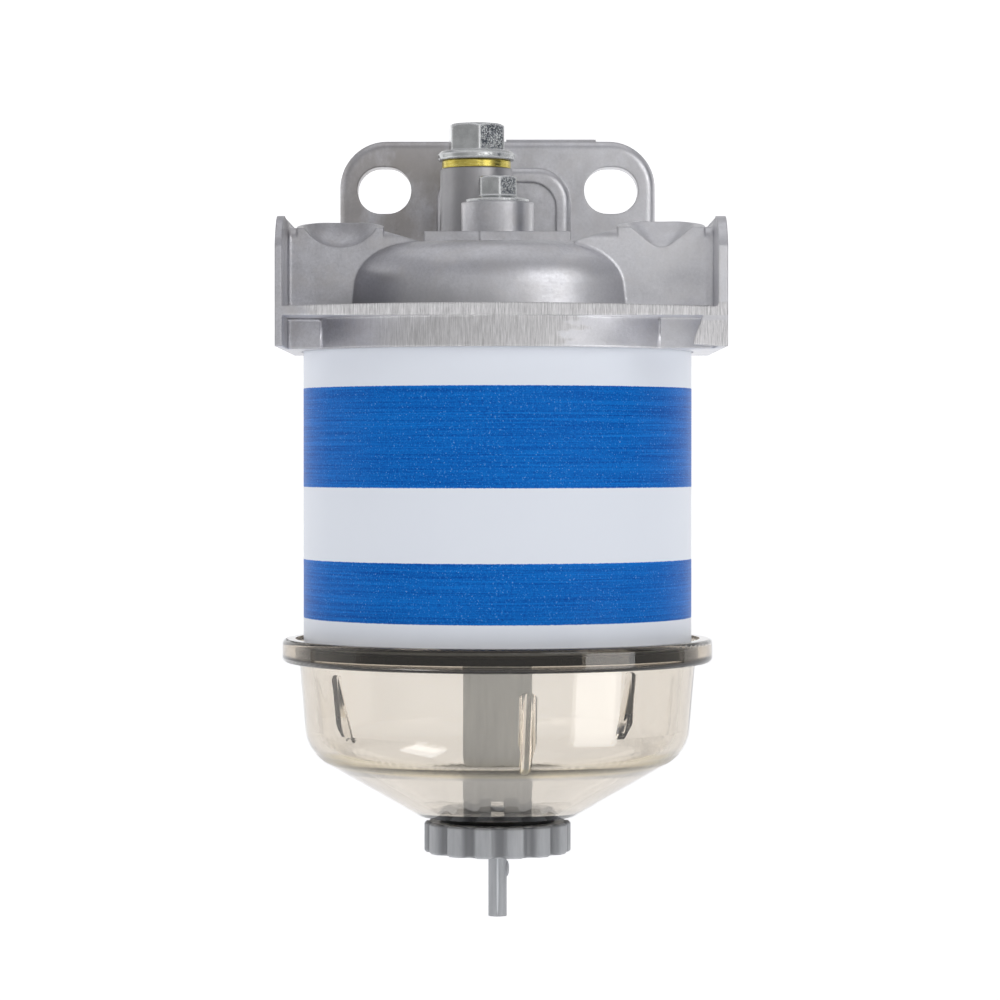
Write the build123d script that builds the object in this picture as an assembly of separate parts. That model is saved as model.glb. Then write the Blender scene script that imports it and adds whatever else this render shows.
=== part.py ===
from build123d import *
import math
import os

os.makedirs("parts", exist_ok=True)

# Millimetres. The model is drawn about the filter's axis, with Z = 0 at the open bottom of the
# head's skirt and the bracket at +Y, and is moved at the end so that the origin lies between
# the two bracket slots, on the face that bolts to the engine.

# Clearances
round_gap = 0.1         # between round faces of pieces that do not move
thread_gap = 0.05       # a male thread in its bore, both drawn plain at mean diameter
seat_gap = 0.1          # under a screwed part, where it comes to rest
skirt_gap = 0.5         # the canister inside the skirt
flute_count = 14

# Steel canister and its paper element
can_d = 86.0
can_wall = 0.8
can_length = 69.6
can_entry = 4.4         # how far the canister reaches up into the skirt
can_lip = 3.0
can_foot_round = 1.4
fuel_space = 9.0        # between the paper and the canister
plate_t = 0.8
core_space = 0.9        # between the core and the paper's inner folds
paper_t = 0.6
pleats = 40
core_d = 23.2
core_wall = 0.6
core_hole_d = 4.0
core_hole_rows = 5
core_holes_round = 6
plate_hole_d = 4.6
plate_holes = 12
plate_hole_land = 1.2   # metal between a hole and the paper

# Head casting
skirt_wall = 2.5
left_reach = 0.5        # the two machined port faces, beyond the skirt
right_reach = 2.2
ledge_z = 6.5
ledge_t = 2.7
left_ledge_dip = 0.8    # the ledge is lower at its two ends
right_ledge_dip = 1.0
dome_step = 6.0         # the dome stands in from the skirt
dome_draft = 1.2        # the dome is this much narrower, in radius, at its top
dome_top = 23.1
dome_round = 10.0
roof_t = 5.2
dome_wall = 4.5
cavity_round = 4.0
left_block_front = 24.6
right_block_front = 28.8
block_rear = 26.0
block_top = 26.2
block_round = 3.0
block_slope_in = 16.5   # where the sloping inner end of a port block meets the dome top
block_slope_out = 27.0
cast_fillet = 0.9       # in the hollow corners of the casting
dome_fillet_to = 28.0   # the dome meets the outlet block inside this distance from the axis
corner_run = 12.5       # length of the corner under the ledge, in from the skirt
corner_step = 1.6       # the corner under the ledge stands forward of the block above it
corner_web_t = 1.6      # web in the front corner of the outlet side, beside the face plate
corner_web_top = 3.0
corner_web_foot = 5.2
corner_web_low = 0.4
corner_web_end = 0.8
left_plate_t = 1.5
right_plate_t = 2.0
end_plate_top = 27.6
end_plate_shoulder = 21.0
end_plate_crown = 33.0
end_plate_rear_round = 9.0
left_dish_in = 12.7     # centre of a dish, in from its port face
right_dish_in = 13.2
dish_setback = 1.7      # centre of the dish behind the block's front face
dish_r = 8.8
dish_depth = 6.1
dish_tip_r = 1.8
dish_tip_round = 1.6
dish_rim = 0.6
dish_rim_top = 27.8
port_tap_d = 11.5
port_tap_depth = 11.5
port_y = 12.5
port_z = 16.2
port_pocket_d = 8.0
gallery_land = 4.5      # metal between the gallery and the cavity's edge
gallery_w = 6.0
gallery_half = 16.0
gallery_h = 7.0
duct_d = 7.0
duct_wall = 3.0
pad_half = 16.0
pad_front = 14.0
pad_joint_x = -3.9      # where the two halves of the casting's core met
pad_joint_step = 0.35
pad_top = 26.0
outlet_wall = 3.3
outlet_boss_foot = 0.8
outlet_chamber_top = 20.0

# Bracket
bracket_width = 73.8
bracket_stand = 4.0     # the bolted face behind the skirt
bracket_t = 7.5
bracket_top = 50.7
bracket_corner = 11.0
bracket_edge = 2.2
bracket_lip_from = 2.0
bracket_lip_to = 23.0
bracket_lip_h = 0.5
slot_pitch = 53.0
slot_length = 12.6
slot_height = 10.9
slot_z = 39.1
stiffener_left = 14.2
stiffener_right = 17.0
stiffener_front = 36.0
stiffener_top = 44.0
stiffener_round = 8.0
stiffener_ridge = 3.4
stiffener_recess = 1.0
gusset_x = 30.0
gusset_t = 6.0

# Centre bolt, small flange pattern
bolt_d = 6.0
bolt_hole_d = 6.6
bolt_af = 8.0
bolt_hex_h = 4.4
bolt_flange_d = 14.0
bolt_flange_t = 1.5
bolt_flange_edge = 0.7
bolt_flange_neck_d = 9.0
bolt_boss_d = 16.1
bolt_boss_top = 33.1
bolt_thread_in = 11.0
bolt_seal_d = 10.4
bolt_seal_t = 1.6

# Vent plug and its boss
vent_x = -4.8
vent_y = 18.0
vent_boss_d = 16.3
vent_boss_draft = 0.3
vent_boss_top = 42.0
vent_thread_d = 10.8
vent_thread_l = 12.0
vent_hole_depth = 15.0
vent_drill_d = 3.0
vent_washer_t = 1.9
vent_washer_d = 15.6
vent_flange_d = 17.4
vent_flange_t = 2.1
vent_af = 12.0
vent_hex_h = 6.2
hex_turn = 36.0
hex_crown = 0.95        # turned top of a hexagon, as a share of its width across flats

# Seals
head_seal_w = 4.6
head_seal_t = 2.0
bowl_seal_t = 1.8
tube_seal_flange_t = 1.4
tube_seal_flange_w = 3.0
upper_seal_neck = 3.4
upper_seal_wall = 1.3
lower_seal_neck = 2.4

# Sediment bowl
rim_overhang = 4.7      # the rim outside the canister
rim_h = 5.2
rim_wall = 2.9
rim_round = 1.1
rim_entry = 1.9         # how far the canister drops into the rim
bowl_step = 1.0         # the bowl under the rim, outside the canister
bowl_draft = 1.8
bowl_wall = 2.8
bowl_bottom_z = -102.6
bowl_flat_d = 35.0
bowl_cone = 30.0
bowl_round = 9.5
bowl_hub_t = 2.8
rib_count = 3
rib_first = 9.0
rib_t = 2.4
rib_root = 1.0          # the ribs flare out where they meet the wall
rib_top_reach = 1.5
rib_reach = 7.2         # at the ribs' lower end
rib_top = -72.8
rib_low = -93.5

# Grey centre tube and the drain
tube_d = 15.4
tube_top = -60.0
tube_bore_d = 7.0
insert_d = 11.0
insert_l = 12.0
insert_sink = 1.0
drain_slot_w = 2.9
drain_slot_h = 2.4
hub_seal_d = 25.5
hub_seal_t = 1.3
foot_flange_d = 24.0
foot_flange_t = 1.6
nose_d = 12.0
nose_end = -108.6
nose_wall = 2.2
nose_ports = 4
nose_port_d = 1.8
nose_port_pitch_d = 5.0
knob_d = 32.5
knob_h = 6.8
knob_edge = 0.45
flute_w = 4.0
flute_depth = 1.3
flute_round = 0.8
washer_d = 11.2
washer_t = 0.9
washer_hole_d = 2.4
spigot_d = 4.1
spigot_bore_d = 2.2
spigot_l = 14.3

# Radii and levels that follow from the sizes above
can_r = can_d / 2
can_foot = can_entry - can_length
plate_top = can_entry - can_wall
plate_foot = can_foot + can_wall
skirt_bore_r = can_r + skirt_gap
skirt_r = skirt_bore_r + skirt_wall
left_end = skirt_r + left_reach
right_end = skirt_r + right_reach
left_dish_x = left_end - left_dish_in
right_dish_x = right_end - right_dish_in
corner_in = skirt_r - corner_run
dome_r = skirt_r - dome_step
cavity_r = dome_r - dome_wall
gallery_out = cavity_r - gallery_land
gallery_in = gallery_out - gallery_w
paper_outer_r = can_r - fuel_space
paper_inner_r = core_d / 2 + core_space
ledge_top = ledge_z + ledge_t
seal_roof = can_entry + head_seal_t
cavity_top = dome_top - roof_t
core_bore_r = core_d / 2 - core_wall
outlet_boss_r = core_bore_r - 2 * round_gap - upper_seal_wall
outlet_bore_r = outlet_boss_r - outlet_wall
rim_top = can_foot + rim_entry
rim_foot = rim_top - rim_h
bowl_seat = can_foot - bowl_seal_t
bowl_floor = bowl_bottom_z + bowl_hub_t
bracket_rear = skirt_r + bracket_stand
bracket_front = bracket_rear - bracket_t
rim_r = can_r + rim_overhang
bowl_top_r = can_r + bowl_step
bowl_inside_r = bowl_top_r - bowl_wall
knob_top = bowl_bottom_z - hub_seal_t - seat_gap
knob_foot = knob_top - knob_h


def turned(points):
    """A ring or disc turned about the filter's axis from its half section."""
    return revolve(Plane.XZ * make_face(Polyline(*points, close=True)), Axis.Z)


def ring(inner_r, outer_r, low, high):
    return turned([(inner_r, low), (outer_r, low), (outer_r, high), (inner_r, high)])


def rod(radius, low, high, x=0.0, y=0.0):
    return Pos(x, y, low) * Cylinder(radius, high - low, align=(Align.CENTER, Align.CENTER, Align.MIN))


def block(x_range, y_range, z_range):
    low = [min(pair) for pair in (x_range, y_range, z_range)]
    size = [abs(pair[1] - pair[0]) for pair in (x_range, y_range, z_range)]
    return Pos(*low) * Box(*size, align=(Align.MIN, Align.MIN, Align.MIN))


def cross_hole(radius, x_from, x_to, y, z):
    length = abs(x_to - x_from)
    return Pos(min(x_from, x_to), y, z) * Rot(0, 90, 0) * Cylinder(
        radius, length, align=(Align.CENTER, Align.CENTER, Align.MIN))


def hexagon_head(across_flats, height, low):
    """A hexagon whose top corners are turned off at thirty degrees, as on a forged head."""
    corner_r = across_flats / math.sqrt(3)
    crown_r = across_flats / 2 * hex_crown
    prism = extrude(RegularPolygon(corner_r, 6, rotation=hex_turn), height)
    drop = (corner_r - crown_r) * math.tan(math.radians(30))
    cap = turned([(0, 0), (corner_r, 0), (corner_r, height - drop), (crown_r, height), (0, height)])
    return Pos(0, 0, low) * (prism & cap)


def end_plate_outline():
    """The port face seen from the side, with its long rounded front shoulder."""
    rear = block_rear - end_plate_rear_round
    half = math.sqrt(0.5)
    diagonal = end_plate_rear_round * half
    mid = (-end_plate_crown - (skirt_r - end_plate_crown) * half,
           end_plate_shoulder + (end_plate_top - end_plate_shoulder) * half)
    edge = [
        Line((-skirt_r, 0), (-skirt_r, end_plate_shoulder)),
        ThreePointArc((-skirt_r, end_plate_shoulder), mid, (-end_plate_crown, end_plate_top)),
        Line((-end_plate_crown, end_plate_top), (rear, end_plate_top)),
        ThreePointArc((rear, end_plate_top),
                      (rear + diagonal, end_plate_top - end_plate_rear_round + diagonal),
                      (block_rear, end_plate_top - end_plate_rear_round)),
        Line((block_rear, end_plate_top - end_plate_rear_round), (block_rear, 0)),
        Line((block_rear, 0), (-skirt_r, 0)),
    ]
    return make_face(edge)


def dish_boss(dish_x, front):
    """Round boss behind a dish, sloping down to the block's front face."""
    dish_y = dish_setback - front
    boss = rod(dish_r + dish_rim, block_top - 4, dish_rim_top, dish_x, dish_y)
    boss &= block((0, dish_x * 2), (-front, dish_y + 2 * dish_r), (0, dish_rim_top))
    slope = make_face(Polyline((-front - 1, block_top - 0.4), (dish_y + dish_r, dish_rim_top + 0.1),
                               (-front - 1, dish_rim_top + 1), close=True))
    return boss - extrude(Plane.YZ * slope, 2 * dish_x)


def round_dish(dish_x, dish_y):
    """The cutter of the inlet side's dish: a part of a ball."""
    radius = (dish_r ** 2 + dish_depth ** 2) / (2 * dish_depth)
    return Pos(dish_x, dish_y, dish_rim_top - dish_depth + radius) * Sphere(radius)


def pointed_dish(dish_x, dish_y):
    """The cutter of the outlet side's dish: a blunt cone that comes in from above."""
    over = 3.0
    spread = (dish_r - dish_tip_r) / dish_depth
    cutter = Cone(dish_tip_r, dish_r + over * spread, dish_depth + over,
                  align=(Align.CENTER, Align.CENTER, Align.MIN))
    cutter = fillet(cutter.edges().filter_by(GeomType.CIRCLE).sort_by(Axis.Z)[0], dish_tip_round)
    return Pos(dish_x, dish_y, dish_rim_top - dish_depth) * cutter


def hollow_corners(shape, wanted):
    """Rounds the casting's inner corners whose points all meet a condition."""
    edges = [e for e in shape.edges() if all(wanted(e @ share) for share in (0.1, 0.5, 0.9))]
    return fillet(edges, cast_fillet)


def block_corners(shape, inside, front):
    """Rounds the inner corners round one block, at its face plate and at the skirt."""
    side = math.copysign(1, inside)
    corner_y = -front - corner_step

    def on_corner(p):
        return abs(p.Y - corner_y) < 0.01 and p.X * side > 0

    shape = hollow_corners(shape, lambda p: abs(p.Y + front) < 0.01 and abs(p.X - inside) < 0.01)
    shape = hollow_corners(shape, lambda p: on_corner(p) and abs(math.hypot(p.X, p.Y) - skirt_r) < 0.01)
    return hollow_corners(shape, lambda p: on_corner(p) and abs(p.X - inside) < 0.01)


def port_block(side, end, plate_t, front, dish_x, dish):
    """One end of the head: the block that holds two ports, its face plate and its dish."""
    inside = end - plate_t
    outline = make_face(Polyline(
        (end - 0.5, 0), (end - 0.5, block_top), (block_slope_out, block_top),
        (block_slope_in, dome_top), (block_slope_in, ledge_z), (corner_in, ledge_z), (corner_in, 0),
        close=True))
    body = extrude(Plane.XZ.offset(front) * outline, -front - block_rear)
    crown = body.edges().filter_by(Axis.X).filter_by(lambda e: e.center().Z > block_top - 1)
    body = fillet(crown, block_round)
    body += dish_boss(dish_x, front)
    corner = block((corner_in, inside + 0.5), (-front - corner_step, -front + 1), (0, ledge_z))
    plate = extrude(Plane.YZ.offset(inside) * end_plate_outline(), plate_t)
    shape = body + corner + plate - dish(dish_x, dish_setback - front)
    return shape if side > 0 else mirror(shape, Plane.YZ)


def corner_web():
    """The small web at the foot of the outlet side's face plate, ground flush with the ledge."""
    inside = right_end - right_plate_t
    outline = make_face(Polyline(
        (inside + 0.5, 0), (inside - corner_web_foot, corner_web_low),
        (inside - corner_web_foot, corner_web_low + corner_web_end),
        (inside - corner_web_top, ledge_z + 0.5),
        (inside + 0.5, ledge_z + 0.5), close=True))
    return extrude(Plane.XZ.offset(skirt_r) * outline, -corner_web_t)


def ledge():
    """The flat ground strip over the skirt, a little lower at its two ends."""
    edge = [Line((-left_end, ledge_z), (right_end, ledge_z)),
            Line((right_end, ledge_z), (right_end, ledge_top - right_ledge_dip)),
            ThreePointArc((right_end, ledge_top - right_ledge_dip), (0, ledge_top),
                          (-left_end, ledge_top - left_ledge_dip)),
            Line((-left_end, ledge_top - left_ledge_dip), (-left_end, ledge_z))]
    return extrude(Plane.XZ.offset(skirt_r) * make_face(edge), -skirt_r - block_rear)


def dome():
    height = dome_top - ledge_z
    shape = Pos(0, 0, ledge_z) * Cone(dome_r, dome_r - dome_draft, height,
                                      align=(Align.CENTER, Align.CENTER, Align.MIN))
    return fillet(shape.edges().sort_by(Axis.Z)[-1], dome_round)


def bracket():
    """The upright plate with its two slots, stiffened behind the vent boss."""
    half = bracket_width / 2
    plate = block((-half, half), (bracket_front, bracket_rear), (0, bracket_top))
    corners = plate.edges().filter_by(Axis.Y).filter_by(lambda e: e.center().Z > bracket_top - 1)
    plate = fillet(corners, bracket_corner)
    front = plate.faces().sort_by(Axis.Y)[0].edges().filter_by(lambda e: e.center().Z > 1)
    plate = fillet(front, bracket_edge)
    plate += block((bracket_lip_from, bracket_lip_to), (bracket_front + bracket_edge, bracket_rear),
                   (bracket_top - 1, bracket_top + bracket_lip_h))
    slot = extrude(Plane.XZ * SlotOverall(slot_length, slot_height), bracket_rear, both=True)
    for side in (-1, 1):
        plate -= Pos(side * slot_pitch / 2, bracket_rear, slot_z) * slot
    return plate


def stiffener():
    pad = block((-stiffener_left, stiffener_right), (stiffener_front, bracket_rear - 2),
                (ledge_z, stiffener_top))
    upright = pad.edges().filter_by(Axis.Y).filter_by(lambda e: e.center().Z > stiffener_top - 1)
    pad = fillet(upright, stiffener_round)
    outer = pad.faces().sort_by(Axis.Y)[0].edges().filter_by(lambda e: e.center().Z > ledge_z + 1)
    pad = fillet(outer, 2.0)
    recess = block((-stiffener_left + stiffener_ridge, stiffener_right - stiffener_ridge),
                   (stiffener_front - 1, stiffener_front + stiffener_recess),
                   (pad_top, stiffener_top - stiffener_ridge))
    web = block((vent_x - 5, vent_x + 5), (vent_y, stiffener_front + 1), (ledge_z, vent_boss_top - 3))
    recess = fillet(recess.edges().filter_by(Axis.Y).sort_by(Axis.Z)[-2:], stiffener_round - 2)
    return pad - recess + web


def gussets():
    """Webs behind the port blocks that carry the bracket."""
    profile = make_face(Polyline(
        (block_rear - 2, 0), (block_rear - 2, block_top - 4), (bracket_front + 1, block_top + 4),
        (bracket_front + 1, 0), close=True))
    web = extrude(Plane.YZ.offset(gusset_x - gusset_t / 2) * profile, gusset_t)
    return web + mirror(web, Plane.YZ)


def outlet_gallery_metal():
    """Metal left inside the head's cavity round the passages of the outlet side."""
    thick = block((gallery_in - duct_wall, dome_r), (-gallery_half - duct_wall, gallery_half + duct_wall),
                  (port_z - gallery_h / 2 - duct_wall, cavity_top + 1))
    duct_half = duct_d / 2 + duct_wall
    duct = block((0, gallery_in), (-duct_half, duct_half), (port_z - duct_half, cavity_top + 1))
    return (thick + duct) & rod(cavity_r + 1, 0, block_top)


def passages():
    """Everything drilled in the head: ports, gallery, outlet bore, bolt hole and vent."""
    cuts = rod(outlet_bore_r, outlet_boss_foot - 1, outlet_chamber_top)
    cuts += rod(bolt_hole_d / 2, outlet_chamber_top - 1, bolt_boss_top + 1)
    cuts += rod(bolt_seal_d / 2 + round_gap, bolt_boss_top - bolt_seal_t, bolt_boss_top + 1)
    for y in (-port_y, port_y):
        cuts += cross_hole(port_tap_d / 2, right_end - port_tap_depth, right_end + 1, y, port_z)
        cuts += cross_hole(port_pocket_d / 2, gallery_in + 1, right_end, y, port_z)
        cuts += cross_hole(port_tap_d / 2, port_tap_depth - left_end, -left_end - 1, y, port_z)
        cuts += cross_hole(port_pocket_d / 2, -gallery_out, -left_end, y, port_z)
    cuts += block((gallery_in, gallery_out), (-gallery_half, gallery_half),
                  (port_z - gallery_h / 2, port_z + gallery_h / 2))
    cuts += cross_hole(duct_d / 2, 0, gallery_in + 1, 0, port_z)
    cuts += rod(vent_thread_d / 2 + thread_gap, vent_boss_top - vent_hole_depth, vent_boss_top + 1,
                vent_x, vent_y)
    cuts += rod(vent_drill_d / 2, cavity_top - 1, vent_boss_top, vent_x, vent_y)
    return cuts


def pad():
    """The raised plate on the dome; its two halves met a little out of step in the die."""
    rear = bracket_front + 1
    height = (dome_top - 6, pad_top)
    left = block((-pad_half, pad_joint_x), (-pad_front, rear), height)
    return left + block((pad_joint_x, pad_half), (-pad_front - pad_joint_step, rear), height)


def filter_head():
    shape = rod(skirt_r, 0, ledge_top - right_ledge_dip) + ledge()
    bracket_half = bracket_width / 2
    shape += block((-bracket_half, bracket_half), (0, bracket_front + 1), (ledge_z, ledge_top))
    shape += dome()
    shape += port_block(1, right_end, right_plate_t, right_block_front, right_dish_x, pointed_dish)
    shape += port_block(-1, left_end, left_plate_t, left_block_front, left_dish_x, round_dish)
    shape = hollow_corners(shape, lambda p: abs(p.Y + right_block_front) < 0.01 and p.X > 0
                           and (p.Z < ledge_top or p.X < dome_fillet_to and p.Z < dome_top - 0.2))
    shape = block_corners(shape, right_end - right_plate_t, right_block_front)
    shape = block_corners(shape, left_plate_t - left_end, left_block_front)
    shape += corner_web()
    shape += pad()
    shape += rod(bolt_boss_d / 2, dome_top - 2, bolt_boss_top)
    vent_h = vent_boss_top - dome_top + 2
    shape += Pos(vent_x, vent_y, dome_top - 2) * Cone(
        vent_boss_d / 2 + vent_boss_draft, vent_boss_d / 2, vent_h,
        align=(Align.CENTER, Align.CENTER, Align.MIN))
    shape += bracket()
    shape += stiffener()
    shape += gussets()
    shape -= rod(skirt_bore_r, -1, seal_roof)
    hollow = rod(cavity_r, seal_roof - 1, cavity_top)
    shape -= fillet(hollow.edges().sort_by(Axis.Z)[-1], cavity_round)
    shape += outlet_gallery_metal()
    shape += rod(outlet_boss_r, outlet_boss_foot, cavity_top + 1)
    return shape - passages()


def centre_bolt():
    flange = turned([
        (0, bolt_boss_top), (bolt_flange_d / 2, bolt_boss_top),
        (bolt_flange_d / 2, bolt_boss_top + bolt_flange_edge),
        (bolt_flange_neck_d / 2, bolt_boss_top + bolt_flange_t), (0, bolt_boss_top + bolt_flange_t)])
    head = hexagon_head(bolt_af, bolt_hex_h, bolt_boss_top + bolt_flange_t)
    end = tube_top - insert_sink - bolt_thread_in
    shank = chamfer(rod(bolt_d / 2, end, bolt_boss_top + 0.5).edges().sort_by(Axis.Z)[0], 0.8)
    return flange + head + shank


def bolt_seal():
    inner = bolt_d / 2 + round_gap
    mid = bolt_boss_top - bolt_seal_t / 2
    width = bolt_seal_d / 2 - inner
    section = Pos((inner + bolt_seal_d / 2) / 2, mid) * RectangleRounded(width, bolt_seal_t - 0.1, 0.6)
    return revolve(Plane.XZ * section, Axis.Z)


def head_seal():
    outer = skirt_bore_r - round_gap
    return ring(outer - head_seal_w, outer, can_entry, seal_roof)


def tube_seal(inner_r, neck_r, flange_r, plate_face, toward, neck):
    """A grommet: its flange lies on the end plate and its neck passes through the hole."""
    flange_face = plate_face + toward * tube_seal_flange_t
    neck_end = plate_face - toward * neck
    return turned([(inner_r, flange_face), (flange_r, flange_face), (flange_r, plate_face),
                   (neck_r, plate_face), (neck_r, neck_end), (inner_r, neck_end)])


def upper_tube_seal():
    neck_r = core_bore_r - round_gap
    return tube_seal(outlet_boss_r + round_gap, neck_r, neck_r + tube_seal_flange_w,
                     plate_top, 1, upper_seal_neck)


def lower_tube_seal():
    neck_r = core_bore_r - round_gap
    return tube_seal(tube_d / 2 + round_gap, neck_r, neck_r + tube_seal_flange_w,
                     plate_foot, -1, lower_seal_neck)


def can_shell():
    """A drawn tube whose two ends are turned in to hold the end plates."""
    lip_r = can_r - can_lip
    outside = rod(can_r, can_foot, can_entry)
    outside = fillet(outside.edges().sort_by(Axis.Z)[0], can_foot_round)
    outside = fillet(outside.edges().sort_by(Axis.Z)[-1], can_wall * 0.6)
    inside = rod(can_r - can_wall, plate_foot, plate_top)
    return outside - inside - rod(lip_r, can_foot - 1, can_entry + 1)


def end_plate(low):
    """A pressed disc with a ring of holes to the space round the paper."""
    outer = can_r - can_wall - round_gap
    disc = ring(core_bore_r, outer, low, low + plate_t)
    reach = paper_outer_r + plate_hole_land + plate_hole_d / 2
    for place in PolarLocations(reach, plate_holes):
        disc -= place * Pos(0, 0, low) * Cylinder(plate_hole_d / 2, 4 * plate_t)
    return disc


def element_core():
    core = ring(core_bore_r, core_d / 2, plate_foot + plate_t, plate_top - plate_t)
    height = plate_top - plate_foot - 2 * plate_t
    pin = Rot(0, 90, 0) * Cylinder(core_hole_d / 2, core_d)
    for row in range(core_hole_rows):
        level = plate_foot + plate_t + height * (row + 0.5) / core_hole_rows
        for index in range(core_holes_round // 2):
            turn = (index + row % 2 * 0.5) * 360 / core_holes_round
            core -= Pos(0, 0, level) * Rot(0, 0, turn) * pin
    return core


def pleated_paper():
    """One folded strip: a star of sharp pleats, its wall as thick as the paper."""
    def star(inner_r, outer_r):
        points = []
        for fold in range(2 * pleats):
            radius = outer_r if fold % 2 else inner_r
            turn = math.pi * fold / pleats
            points.append((radius * math.cos(turn), radius * math.sin(turn)))
        return make_face(Polyline(*points, close=True))

    lean = math.atan2(paper_outer_r * math.pi / pleats, paper_outer_r - paper_inner_r)
    shift = paper_t / math.sin(lean)
    strip = star(paper_inner_r + shift, paper_outer_r) - star(paper_inner_r, paper_outer_r - shift)
    height = plate_top - plate_foot - 2 * plate_t
    return Pos(0, 0, plate_foot + plate_t) * extrude(strip, height)


def bowl_seal():
    outer = rim_r - rim_wall - round_gap
    inner = bowl_inside_r + 0.4
    return ring(inner, outer, bowl_seat, can_foot)


def bowl_corner(top_r, foot, flat_r):
    """Where the drafted wall and the cone would meet: radius and height."""
    wall_r = top_r - bowl_draft
    return wall_r, foot + (wall_r - flat_r) * math.tan(math.radians(bowl_cone))


def bowl_form(top_r, top, foot, flat_r, round_r):
    """The bowl's outside or inside: drafted wall, round shoulder, shallow cone."""
    wall_r, corner = bowl_corner(top_r, foot, flat_r)
    form = turned([(0, top), (top_r, top), (wall_r, corner), (flat_r, foot), (0, foot)])
    shoulder = form.edges().filter_by(GeomType.CIRCLE).filter_by(
        lambda e: abs(e.center().Z - corner) < 0.01)
    return fillet(shoulder, round_r)


def bowl_rib(inner_flat):
    """A fin on the bowl's wall: it reaches further in toward the floor and flares at its root."""
    side = make_face(Polyline(
        (bowl_top_r, rib_top), (bowl_inside_r - rib_top_reach, rib_top),
        (bowl_inside_r - rib_reach, rib_low), (bowl_top_r, rib_low), close=True))
    fin = extrude(Plane.XZ * side, rib_t / 2, both=True)
    nose = fin.faces().sort_by(Axis.X)[0].edges().filter_by(lambda e: abs(e.center().Y) > rib_t / 4)
    fin = fillet(nose, rib_t / 2 - round_gap)
    half = rib_t / 2 + rib_root
    wall_r, corner = bowl_corner(bowl_inside_r, bowl_floor, inner_flat)
    down = Vector(wall_r - bowl_inside_r, 0, corner - rim_foot - 1).normalized()
    wall = Plane(origin=(bowl_inside_r, 0, rim_foot + 1), x_dir=(down.Z, 0, -down.X), z_dir=down)
    flare = (1 - math.sqrt(0.5)) * rib_root
    section = make_face([
        Polyline((0, half), (-bowl_wall, half), (-bowl_wall, -half), (0, -half)),
        ThreePointArc((0, -half), (flare, -rib_t / 2 - flare), (rib_root, -rib_t / 2)),
        Line((rib_root, -rib_t / 2), (rib_root, rib_t / 2)),
        ThreePointArc((rib_root, rib_t / 2), (flare, rib_t / 2 + flare), (0, half))])
    root = extrude(wall * section, rim_foot - bowl_floor)
    arch = Pos(0, (rib_top + rib_low) / 2) * Rectangle(2 * half + 0.2, rib_top - rib_low)
    arch = fillet(arch.vertices().sort_by(Axis.Y)[-2:], half)
    return (fin + root) & extrude(Plane.YZ * arch, bowl_top_r)


def sediment_bowl():
    outside = bowl_form(bowl_top_r, rim_foot + 1, bowl_bottom_z, bowl_flat_d / 2, bowl_round)
    slope = math.radians(bowl_cone)
    inner_flat = bowl_flat_d / 2 - bowl_wall * math.tan(slope / 2)
    inside = bowl_form(bowl_inside_r, rim_foot + 1, bowl_floor, inner_flat,
                       bowl_round - bowl_wall)
    rim = rod(rim_r, rim_foot, rim_top)
    rim = fillet(rim.edges().filter_by(GeomType.CIRCLE), rim_round)
    rim -= rod(rim_r - rim_wall, bowl_seat, rim_top + 1)
    rim -= rod(bowl_inside_r, rim_foot - 1, rim_top)
    bowl = outside + rim - inside
    rib = bowl_rib(inner_flat)
    for index in range(rib_count):
        turn = rib_first - 90 + index * 360 / rib_count
        bowl += Rot(0, 0, turn) * rib & inside
    return bowl - rod(nose_d / 2 + round_gap, bowl_bottom_z - 1, bowl_floor + 1)


def bowl_centre_tube():
    """Grey moulding through the bowl: its foot flange pulls the bowl up, its nose takes the knob."""
    flange_top = bowl_bottom_z - hub_seal_t
    flange_foot = flange_top - foot_flange_t
    tube = rod(tube_d / 2, bowl_floor, tube_top)
    tube += rod(nose_d / 2, nose_end, bowl_floor + 1)
    tube += rod(foot_flange_d / 2, flange_foot, flange_top)
    tube -= rod(tube_bore_d / 2, nose_end + nose_wall, tube_top)
    tube -= rod(insert_d / 2 + round_gap, tube_top - insert_sink - insert_l, tube_top + 1)
    slot = block((-tube_d, tube_d), (-drain_slot_w / 2, drain_slot_w / 2),
                 (bowl_floor, bowl_floor + drain_slot_h))
    tube -= slot
    tube -= Rot(0, 0, 90) * slot
    for place in PolarLocations(nose_port_pitch_d / 2, nose_ports):
        tube -= place * Pos(0, 0, nose_end) * Cylinder(nose_port_d / 2, 2.5 * nose_wall)
    return tube


def threaded_insert():
    top = tube_top - insert_sink
    shape = rod(insert_d / 2, top - insert_l, top)
    shape = chamfer(shape.edges(), 0.4)
    groove = ring(insert_d / 2 - 0.6, insert_d / 2 + 1, top - insert_l / 2 - 1, top - insert_l / 2 + 1)
    return shape - groove - rod(bolt_d / 2 + thread_gap, top - insert_l - 1, top + 1)


def hub_seal():
    return ring(nose_d / 2 + round_gap, hub_seal_d / 2, bowl_bottom_z - hub_seal_t, bowl_bottom_z)


def vent_washer():
    washer = ring(vent_thread_d / 2 + round_gap, vent_washer_d / 2, 0, vent_washer_t)
    return Pos(vent_x, vent_y, vent_boss_top) * fillet(washer.edges(), 0.3)


def vent_plug():
    low = vent_washer_t
    flange = rod(vent_flange_d / 2, low, low + vent_flange_t)
    flange = chamfer(flange.edges().sort_by(Axis.Z)[-1], 0.7)
    flange = fillet(flange.edges().sort_by(Axis.Z)[0], 0.4)
    stem = chamfer(rod(vent_thread_d / 2, -vent_thread_l + low, low + 1).edges().sort_by(Axis.Z)[0], 1.0)
    head = hexagon_head(vent_af, vent_hex_h, low + vent_flange_t)
    bleed = rod(vent_drill_d / 2, -vent_thread_l, 0)
    return Pos(vent_x, vent_y, vent_boss_top) * (flange + head + stem - bleed)


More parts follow.
